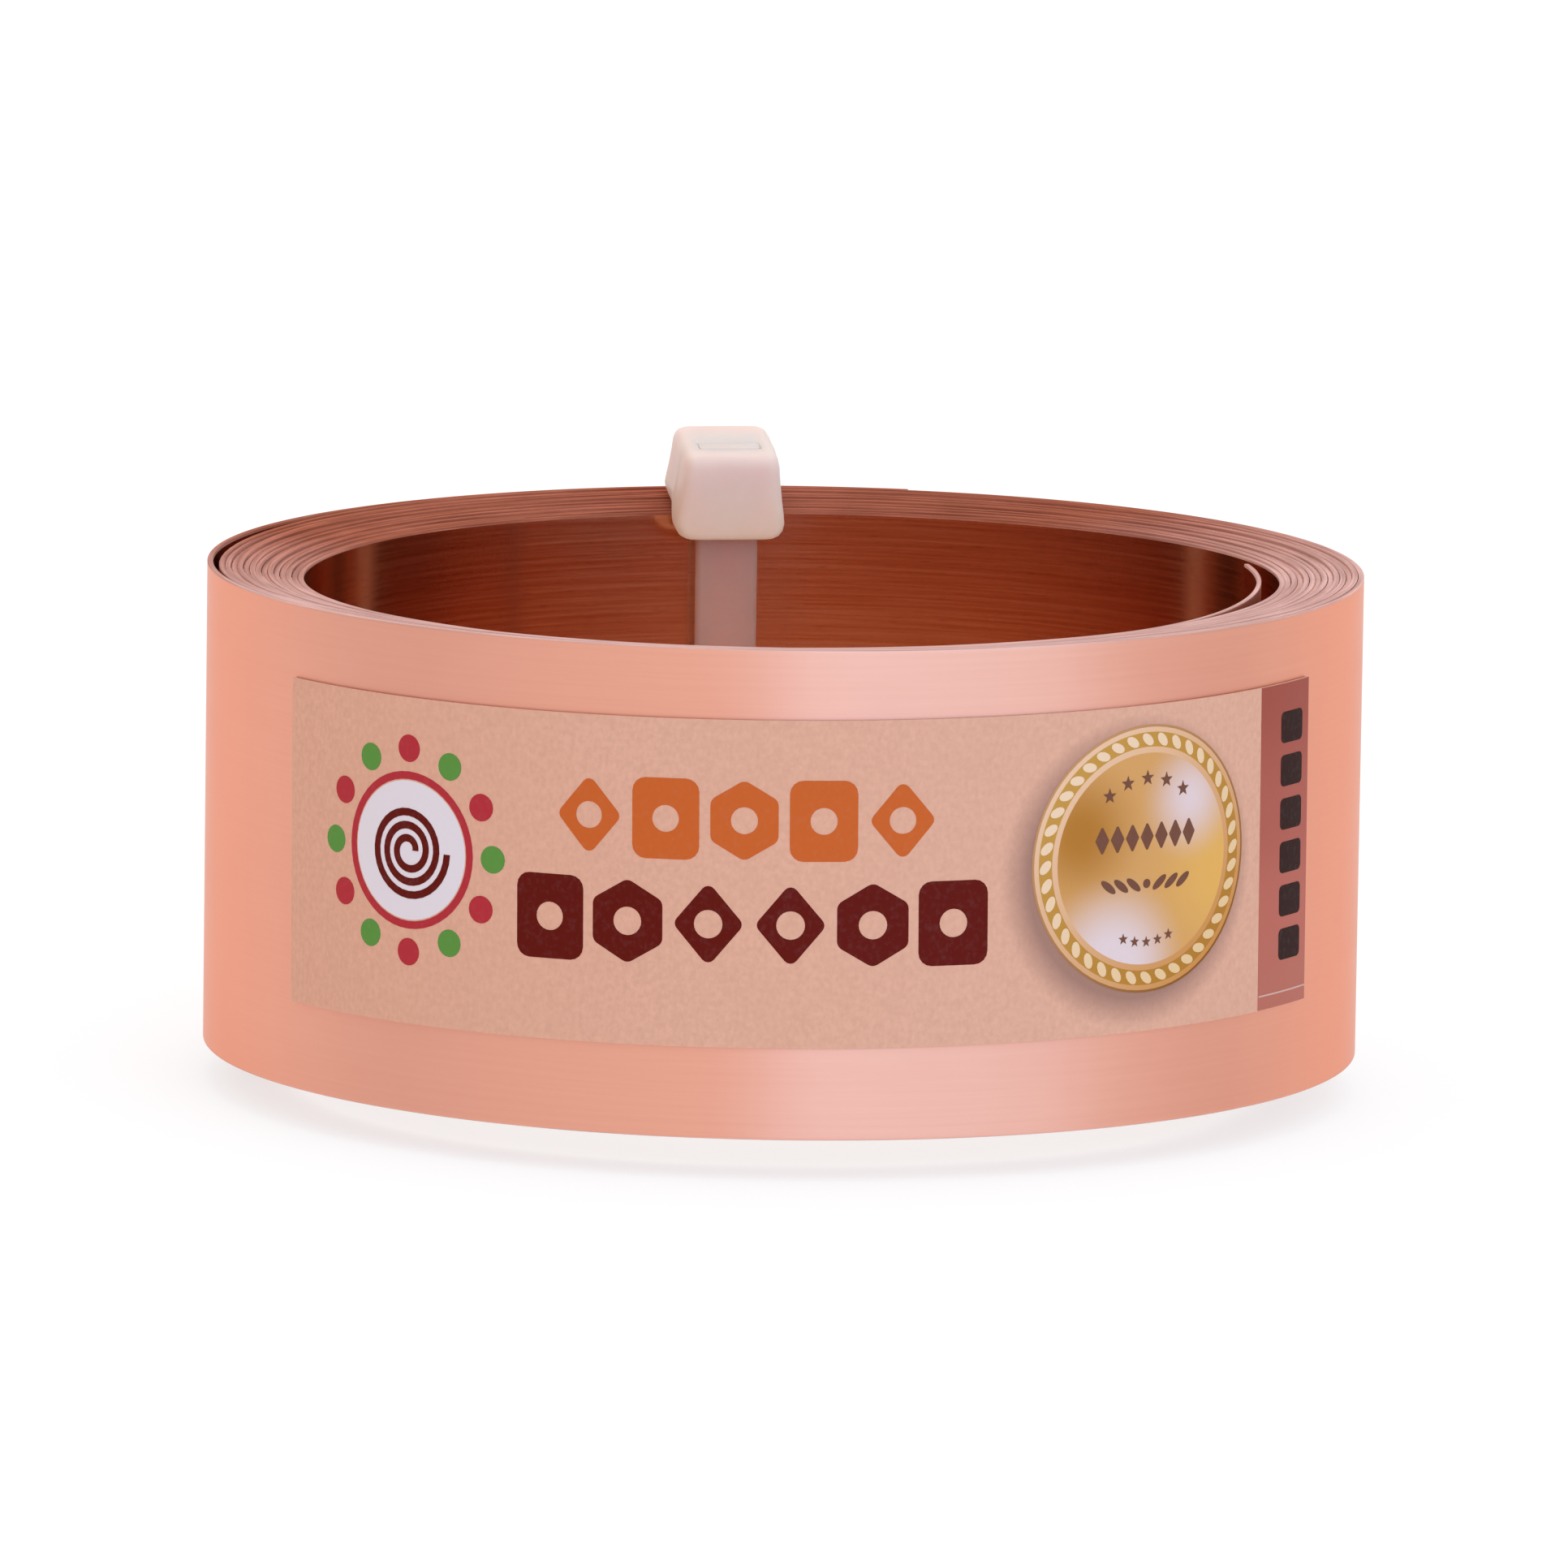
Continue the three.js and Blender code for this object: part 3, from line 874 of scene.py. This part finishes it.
class Shader(Nodes):
    """A material, with the nodes that feed its surface."""

    def __init__(self, name):
        self.material = bpy.data.materials.new(name)
        self.material.use_nodes = True
        super().__init__(self.material.node_tree)
        self.surface = self.tree.nodes["Principled BSDF"]

    def set(self, **values):
        for name, value in values.items():
            self.surface.inputs[name.replace("_", " ")].default_value = value
        return self

    def link(self, output, name):
        self.tree.links.new(output, self.surface.inputs[name])
        return self

    def bump(self, height, distance, strength):
        """Small relief, whose greatest depth is given in millimetres."""
        inputs = {"Height": height, "Distance": distance * MM, "Strength": strength}
        return self.link(self.node("ShaderNodeBump", inputs).outputs["Normal"], "Normal")

    def place(self):
        """The shaded point on the object, in metres."""
        return self.node("ShaderNodeTexCoord").outputs["Object"]

    def noise_at(self, place, detail, roughness):
        inputs = {"Vector": place, "Scale": 1.0, "Detail": detail, "Roughness": roughness}
        return self.node("ShaderNodeTexNoise", inputs).outputs["Fac"]

    def noise(self, scale, detail=2.0, roughness=0.5):
        """Noise over the object, with about this many features to the metre each way."""
        place = self.node("ShaderNodeMapping", {"Vector": self.place(), "Scale": scale})
        return self.noise_at(place.outputs["Vector"], detail, roughness)

    def strip_noise(self, scale, detail, roughness):
        """Noise along the strip and round its outline, with about this many features to the mm."""
        strip = self.node("ShaderNodeUVMap", uv_map=STRIP_MAP).outputs["UV"]
        place = self.node("ShaderNodeMapping", {"Vector": strip, "Scale": (*scale, 1)})
        return self.noise_at(place.outputs["Vector"], detail, roughness)

    def vector(self, operation, first, second):
        return self.node("ShaderNodeVectorMath", {0: first, 1: tuple(second)}, operation=operation)

    def offset_from(self, middle):
        """How far the shaded point lies from a place, in metres."""
        return self.vector("SUBTRACT", self.place(), middle * MM).outputs["Vector"]

    def reach_along(self, offset, direction):
        return self.vector("DOT_PRODUCT", offset, direction).outputs["Value"]

    def distance(self, first, second):
        return self.vector("DISTANCE", first, second).outputs["Value"]


COPPER_GRAZING = rgb(0.97, 0.70, 0.60)  # keeps copper from whitening where it is seen edge-on
PAINTED_LIGHT_SIDE = -76  # where round the coil the slit edges are painted lighter, as a painted reflection of the pale floor
PAINTED_SHADE_REACH, PAINTED_LIGHT_REACH = -17.5, 6  # from the coil's axis towards that side: where the painted shade and the painted reflection end
EDGE_SHINE = 0.06


def copper_outside():
    """Bright rolled copper: fine lines along the strip, and a faint bloom of tarnish."""
    shader = Shader("rolled_copper").set(
        Metallic=1.0, Specular_Tint=COPPER_GRAZING, Anisotropic=0.8, Anisotropic_Rotation=0.25
    )
    lines = shader.strip_noise((0.07, 4.2), 3.0, 0.6)
    bands = shader.strip_noise((0.02, 0.5), 2.0, 0.5)
    bloom = shader.noise((70, 70, 90), 4.0, 0.55)
    streaks = shader.mix(0.5, lines, bands)
    colour = shader.mix(shader.spread(streaks, 0.35, 0.65), rgb(0.82, 0.375, 0.272), rgb(0.86, 0.41, 0.302))
    colour = shader.mix(shader.spread(bloom, 0.5, 0.72, 0.0, 0.3), colour, rgb(0.79, 0.345, 0.265))
    shader.link(colour, "Base Color")
    shader.link(shader.spread(streaks, 0.3, 0.7, 0.35, 0.43), "Roughness")
    shader.bump(lines, 0.003, 0.5)
    return along_the_strip(shader)


def copper_inside():
    """The face that looks at the coil's axis: smoother, with long rolling marks and dark flecks."""
    shader = Shader("rolled_copper_inside").set(
        Metallic=1.0, Specular_Tint=COPPER_GRAZING, Anisotropic=0.3, Anisotropic_Rotation=0.25
    )
    lines = shader.strip_noise((0.06, 5), 3.0, 0.65)
    flecks = shader.strip_noise((0.85, 8), 2.0, 0.5)
    # Painted shade: the inside face gets a darker copper than the outside face, for the shade in the coil's
    # hollow
    colour = shader.mix(shader.spread(lines, 0.35, 0.65), rgb(0.655, 0.305, 0.172), rgb(0.72, 0.36, 0.212))
    colour = shader.mix(shader.spread(flecks, 0.6, 0.76, 0.0, 0.5), colour, rgb(0.42, 0.15, 0.09))
    shader.link(colour, "Base Color")
    shader.link(shader.spread(lines, 0.3, 0.7, 0.14, 0.2), "Roughness")
    shader.bump(lines, 0.0015, 0.4)
    return along_the_strip(shader)


def along_the_strip(shader):
    """Lays a material's anisotropy round the coil."""
    tangent = shader.node("ShaderNodeTangent", direction_type="RADIAL", axis="Z")
    return shader.link(tangent.outputs["Tangent"], "Tangent").material


def copper_edge():
    """The slit edge: matt and streaked by the knife, with painted shade browning it towards one side and a
    painted reflection lightening it towards the other.
    """
    shader = Shader("slit_copper").set(Specular_Tint=COPPER_GRAZING, Specular_IOR_Level=0.0)
    marks = shader.strip_noise((1.6, 14), 3.0, 0.6)
    streaks = shader.strip_noise((0.11, 5), 3.0, 0.55)
    # Painted shade and painted reflection: dark brown towards the back-left, pale pink and a touch shinier
    # towards the front-right
    side = shader.reach_along(shader.place(), (cos_deg(PAINTED_LIGHT_SIDE), sin_deg(PAINTED_LIGHT_SIDE), 0))
    painted_light_share = shader.spread(side, PAINTED_SHADE_REACH * MM, PAINTED_LIGHT_REACH * MM)
    shader.link(shader.spread(painted_light_share, 0.0, 1.0, 0.0, EDGE_SHINE), "Metallic")
    dark = shader.mix(painted_light_share, rgb(0.275, 0.074, 0.04), rgb(0.51, 0.285, 0.245))
    light = shader.mix(painted_light_share, rgb(0.54, 0.166, 0.096), rgb(0.80, 0.485, 0.43))
    colour = shader.mix(shader.spread(streaks, 0.34, 0.66), dark, light)
    patches = shader.noise((240, 240, 60), 3.0, 0.6)
    colour = shader.mix(shader.spread(patches, 0.46, 0.68, 0.0, 0.35), colour, dark)
    shader.link(shader.mix(shader.spread(marks, 0.45, 0.8, 0.0, 0.3), colour, dark), "Base Color")
    shader.link(shader.spread(marks, 0.3, 0.7, 0.34, 0.5), "Roughness")
    return shader.bump(marks, 0.01, 0.5).material


PRINT_SHINE = 0.08
KRAFT_BROWN = rgb(0.645, 0.318, 0.214)
KRAFT_PALE = rgb(0.72, 0.36, 0.246)
KRAFT_SHADOW = rgb(0.27, 0.13, 0.10)


def paper_grain(shader, strength):
    """Paper fibres as a height, with a fine pressed grain."""
    fibres = shader.noise((2200, 2200, 3400), 4.0, 0.6)
    pressed = shader.noise((4400, 4400, 3000), 1.0, 0.5)
    grain = shader.mix(0.5, fibres, pressed)
    shader.bump(grain, 0.05, strength)
    return grain


def kraft_paper():
    """Brown wrapping paper, darkened beside the seal by a printed soft shadow."""
    shader = Shader("kraft_label").set(Roughness=0.75, Specular_IOR_Level=PRINT_SHINE)
    grain = paper_grain(shader, 0.5)
    clouds = shader.noise((220, 220, 220), 3.0, 0.5)
    colour = shader.mix(shader.spread(grain, 0.35, 0.65), KRAFT_BROWN, KRAFT_PALE)
    colour = shader.mix(shader.spread(clouds, 0.3, 0.7, 0.0, 0.2), colour, KRAFT_BROWN)
    middle = on_label(SEAL[0] + SEAL_SHADOW[0], SEAL[1] + SEAL_SHADOW[1])
    away = shader.distance(shader.place(), middle * MM)
    full, faded = SEAL_SHADOW_FADE
    shadow = shader.spread(away, full * MM, faded * MM, 0.8, 0.0)
    return shader.link(shader.mix(shadow, colour, KRAFT_SHADOW), "Base Color").material


def ink(name, colour):
    """Printed colour, thinner over the paper's high fibres."""
    shader = Shader(name).set(Roughness=0.5, Specular_IOR_Level=PRINT_SHINE)
    grain = paper_grain(shader, 0.3)
    faded = rgb(*(mixed(channel, 0.5, 0.03) for channel in colour[:3]))
    return shader.link(shader.mix(shader.spread(grain, 0.5, 0.75), colour, faded), "Base Color").material


def upward_ink(name, stops):
    """Printed colour shaded from the label's lower edge to its upper edge."""
    shader = Shader(name).set(Roughness=0.4, Specular_IOR_Level=PRINT_SHINE)
    middle = on_label((BAND_FROM + LABEL_LENGTH) / 2, LABEL_HEIGHT / 2)
    height = shader.reach_along(shader.offset_from(middle), (0, 0, 1))
    half = LABEL_HEIGHT / 2 * MM
    colour = shader.ramp(shader.spread(height, -half, half), stops)
    paper_grain(shader, 0.25)
    return shader.link(colour, "Base Color").material


def seal_directions():
    """Along the label and up it, where the seal is printed."""
    angle = LABEL_FROM + math.degrees(SEAL[0] / LABEL_ARC_RADIUS)
    return Vector((-sin_deg(angle), cos_deg(angle), 0)), Vector((0, 0, 1))


def raised_ink(name, shaded, lit):
    """Printed gold shaded as if it stood proud, lit from the label's upper left."""
    shader = Shader(name).set(Roughness=0.35, Specular_IOR_Level=PRINT_SHINE)
    along, up = seal_directions()
    reach = shader.reach_along(shader.offset_from(on_label(*SEAL)), (up - along).normalized())
    edge = SEAL_RADIUS * MM
    paper_grain(shader, 0.25)
    return shader.link(shader.mix(shader.spread(reach, -edge, edge), shaded, lit), "Base Color").material


def polished_ink(name, colour, patches):
    """Printed gold with soft patches of other tones, like a polished medal."""
    shader = Shader(name).set(Roughness=0.35, Specular_IOR_Level=PRINT_SHINE)
    along, up = seal_directions()
    offset = shader.offset_from(on_label(*SEAL))
    edge = SEAL_RADIUS * MM
    for right, above, full, faded, tone in patches:
        away = shader.distance(offset, (along * right + up * above) * edge)
        share = shader.spread(away, full * edge, faded * edge, 1.0, 0.0, shape="SMOOTHSTEP")
        colour = shader.mix(share, colour, tone)
    paper_grain(shader, 0.25)
    return shader.link(colour, "Base Color").material


GOLD = rgb(0.62, 0.29, 0.095)
GOLD_PATCHES = (  # right, above, full and faded radius, in seal radii, and tone
    (-0.60, 0.22, 0.05, 0.65, rgb(0.42, 0.155, 0.022)),
    (0.75, -0.15, 0.05, 0.85, rgb(0.72, 0.36, 0.085)),
    (0.42, 0.42, 0.0, 0.52, rgb(0.71, 0.51, 0.49)),
    (-0.30, -0.78, 0.15, 0.72, rgb(0.71, 0.52, 0.50)),
)
COPPER_PRINT = (  # share of the label's height
    (0.0, rgb(0.45, 0.125, 0.085)),
    (0.3, rgb(0.46, 0.115, 0.080)),
    (0.6, rgb(0.40, 0.090, 0.062)),
    (1.0, rgb(0.33, 0.065, 0.042)),
)


def label_inks():
    return {
        "white": ink("ink_white", rgb(0.72, 0.60, 0.61)),
        "red": ink("ink_red", rgb(0.42, 0.024, 0.032)),
        "green": ink("ink_green", rgb(0.10, 0.24, 0.04)),
        "maroon": ink("ink_maroon", rgb(0.112, 0.004, 0.001)),
        "orange": ink("ink_orange", rgb(0.545, 0.10, 0.017)),
        "black": ink("ink_black", rgb(0.026, 0.005, 0.003)),
        "brown": ink("ink_brown", rgb(0.17, 0.060, 0.035)),
        "pale": ink("ink_pale", rgb(0.62, 0.33, 0.27)),
        "gold_rim": raised_ink("ink_gold_rim", rgb(0.24, 0.08, 0.012), rgb(0.52, 0.24, 0.10)),
        "gold_line": raised_ink("ink_gold_line", rgb(0.56, 0.22, 0.05), rgb(0.77, 0.45, 0.28)),
        "gold_dark": raised_ink("ink_gold_dark", rgb(0.42, 0.165, 0.02), rgb(0.53, 0.255, 0.05)),
        "gold_bead": raised_ink("ink_gold_bead", rgb(0.74, 0.46, 0.23), rgb(0.80, 0.53, 0.35)),
        "gold_field": polished_ink("ink_gold_field", GOLD, GOLD_PATCHES),
        "band": upward_ink("ink_band", COPPER_PRINT),
    }


PAINTED_GLOW_HEIGHTS = (25.5, 29.5)  # heights between which the head's painted copper glow fades into its paler colour above


def nylon(name, clearness, above, painted_glow):
    """Milky nylon with a soft moulded surface, with a painted copper-coloured glow beside the coil and
    paler above it.
    """
    shader = Shader(name).set(
        Roughness=0.4,
        IOR=1.5,
        Specular_IOR_Level=0.3,
        Transmission_Weight=clearness,
        Subsurface_Weight=0.9,
        Subsurface_Radius=(1.0, 0.75, 0.65),
        Subsurface_Scale=0.0012,
    )
    height = shader.reach_along(shader.place(), (0, 0, 1))
    # Painted glow: below these heights the nylon takes a deeper peach, standing in for copper light passing
    # through it
    colour = shader.mix(shader.spread(height, PAINTED_GLOW_HEIGHTS[0] * MM, PAINTED_GLOW_HEIGHTS[1] * MM), painted_glow, above)
    cloud = shader.noise((500, 500, 500))
    darker = shader.mix(1.0, colour, rgb(0.97, 0.97, 0.97), "MULTIPLY")
    shader.link(shader.mix(shader.spread(cloud, 0.35, 0.65), darker, colour), "Base Color")
    fine = shader.noise((2500, 2500, 2500))
    return shader.bump(fine, 0.02, 0.3).material


# ---------- studio ----------

STUDIO = (  # azimuth from the camera's side, positive to the right; brightness and its tint
    (-180, 0.98, (1.0, 1.0, 1.0)),
    (-130, 0.85, (1.0, 1.0, 1.0)),
    (-85, 0.40, (1.0, 1.0, 1.0)),
    (-45, 0.70, (1.0, 0.97, 0.95)),
    (-9, 0.86, (1.0, 0.98, 0.95)),
    (5, 2.38, (0.54, 1.0, 1.5)),
    (24, 2.15, (0.54, 1.0, 1.47)),
    (54, 1.9, (0.56, 1.0, 1.42)),
    (71, 0.80, (0.9, 1.0, 1.12)),
    (95, 0.40, (1.0, 1.0, 1.0)),
    (140, 0.85, (1.0, 1.0, 1.0)),
    (180, 0.98, (1.0, 1.0, 1.0)),
)
STUDIO_PEAK = 3.0  # keeps the ramp's colours below one
OVERHEAD = 1.2
OVERHEAD_FROM, OVERHEAD_FULL = 0.3, 0.75  # upward share of a direction
FLOOR_GLOW = 0.67
FLOOR_RINGS = (100, 400, 1500, 4000)
FLOOR_SIDES = 96


def studio_light():
    """A soft studio: a pale surround, a tall softbox right of the camera, and a bright ceiling."""
    world = bpy.data.worlds.new("studio")
    bpy.context.scene.world = world
    world.use_nodes = True
    sky = Nodes(world.node_tree)
    direction = sky.node("ShaderNodeTexCoord").outputs["Generated"]
    right, back, up = sky.node("ShaderNodeSeparateXYZ", {0: direction}).outputs
    front = sky.node("ShaderNodeMath", {0: back, 1: -1}, operation="MULTIPLY").outputs[0]
    azimuth = sky.node("ShaderNodeMath", {0: right, 1: front}, operation="ARCTAN2").outputs[0]
    stops = []
    for angle, level, tint in STUDIO:
        colour = rgb(*(level * channel / STUDIO_PEAK for channel in tint))
        stops.append(((angle + 180) / 360, colour))
    surround = sky.ramp(sky.spread(azimuth, -math.pi, math.pi), stops)
    ceiling = OVERHEAD / STUDIO_PEAK
    rise = sky.spread(up, OVERHEAD_FROM, OVERHEAD_FULL, shape="SMOOTHSTEP")
    colour = sky.mix(rise, surround, rgb(ceiling, ceiling, ceiling))
    background = world.node_tree.nodes["Background"]
    sky.fill(background.inputs["Color"], colour)
    sky.fill(background.inputs["Strength"], STUDIO_PEAK)


def studio_floor():
    """A wide, plain, pale floor, lit a little from below like a light table."""
    rings = [circle((0, 0), radius, FLOOR_SIDES) for radius in FLOOR_RINGS]
    points = [(x * MM, y * MM, 0.0) for ring in rings for x, y in ring]
    faces = [tuple(range(FLOOR_SIDES))]
    for inner in range(0, FLOOR_SIDES * (len(rings) - 1), FLOOR_SIDES):
        outer = inner + FLOOR_SIDES
        for i in range(FLOOR_SIDES):
            j = (i + 1) % FLOOR_SIDES
            faces.append((inner + i, inner + j, outer + j, outer + i))
    shader = Shader("pale_floor").set(
        Roughness=0.9, Specular_IOR_Level=0.1, Emission_Color=rgb(1, 1, 1), Emission_Strength=FLOOR_GLOW
    )
    tone = shader.noise((3, 3, 3))
    colour = shader.mix(shader.spread(tone, 0.3, 0.7), rgb(0.33, 0.33, 0.33), rgb(0.35, 0.35, 0.35))
    shader.link(colour, "Base Color")
    mesh = bpy.data.meshes.new("floor")
    mesh.from_pydata(points, [], faces)
    mesh.materials.append(shader.material)
    floor = bpy.data.objects.new("floor", mesh)
    bpy.context.scene.collection.objects.link(floor)


def studio_camera():
    """The photograph's view: a long lens a little above the coil, rolled by less than a degree."""
    data = bpy.data.cameras.new("camera")
    data.lens = CAMERA_LENS
    data.sensor_width = SENSOR_WIDTH
    data.clip_start = 0.05
    data.clip_end = 20
    forward = Vector((0, cos_deg(CAMERA_ELEVATION), -sin_deg(CAMERA_ELEVATION)))
    level_right = Vector((1, 0, 0))
    level_up = level_right.cross(forward)
    right = level_right * cos_deg(CAMERA_ROLL) + level_up * sin_deg(CAMERA_ROLL)
    up = level_up * cos_deg(CAMERA_ROLL) - level_right * sin_deg(CAMERA_ROLL)
    middle = Vector((AXIS.x, AXIS.y, (BASE_Z + RIM_Z) / 2))
    target = middle + right * CAMERA_AIM[0] + up * CAMERA_AIM[1]
    place = (target - forward * CAMERA_DISTANCE) * MM
    turned = Matrix((right, up, -forward)).transposed().to_4x4()
    camera = bpy.data.objects.new("camera", data)
    camera.matrix_world = Matrix.Translation(place) @ turned
    bpy.context.scene.collection.objects.link(camera)
    bpy.context.scene.camera = camera
    bpy.context.scene.view_settings.view_transform = "Standard"


# ---------- assembly ----------

copper = [copper_outside(), copper_edge(), copper_inside()]
copper_coil(copper)
copper_ends(copper)

inks = label_inks()
paper_label(kraft_paper())
label_emblem(inks)
ornament_row("row_orange", ROW_ONE, ROW_ONE_MOTIFS, inks["orange"])
ornament_row("row_maroon", ROW_TWO, ROW_TWO_MOTIFS, inks["maroon"])
label_seal(inks)
label_band(inks)

head_nylon = nylon("head_nylon", 0.1, rgb(1.0, 0.655, 0.565), rgb(1.0, 0.64, 0.48))
clear_nylon = nylon("strap_nylon", 0.75, rgb(1.0, 0.64, 0.52), rgb(1.0, 0.64, 0.52))
tie_strap([clear_nylon, head_nylon])
tie_head(head_nylon)
pawl = frame["nodes"]["tie_pawl"]
pawl.data.materials.clear()
pawl.data.materials.append(head_nylon)

studio_light()
studio_floor()
studio_camera()
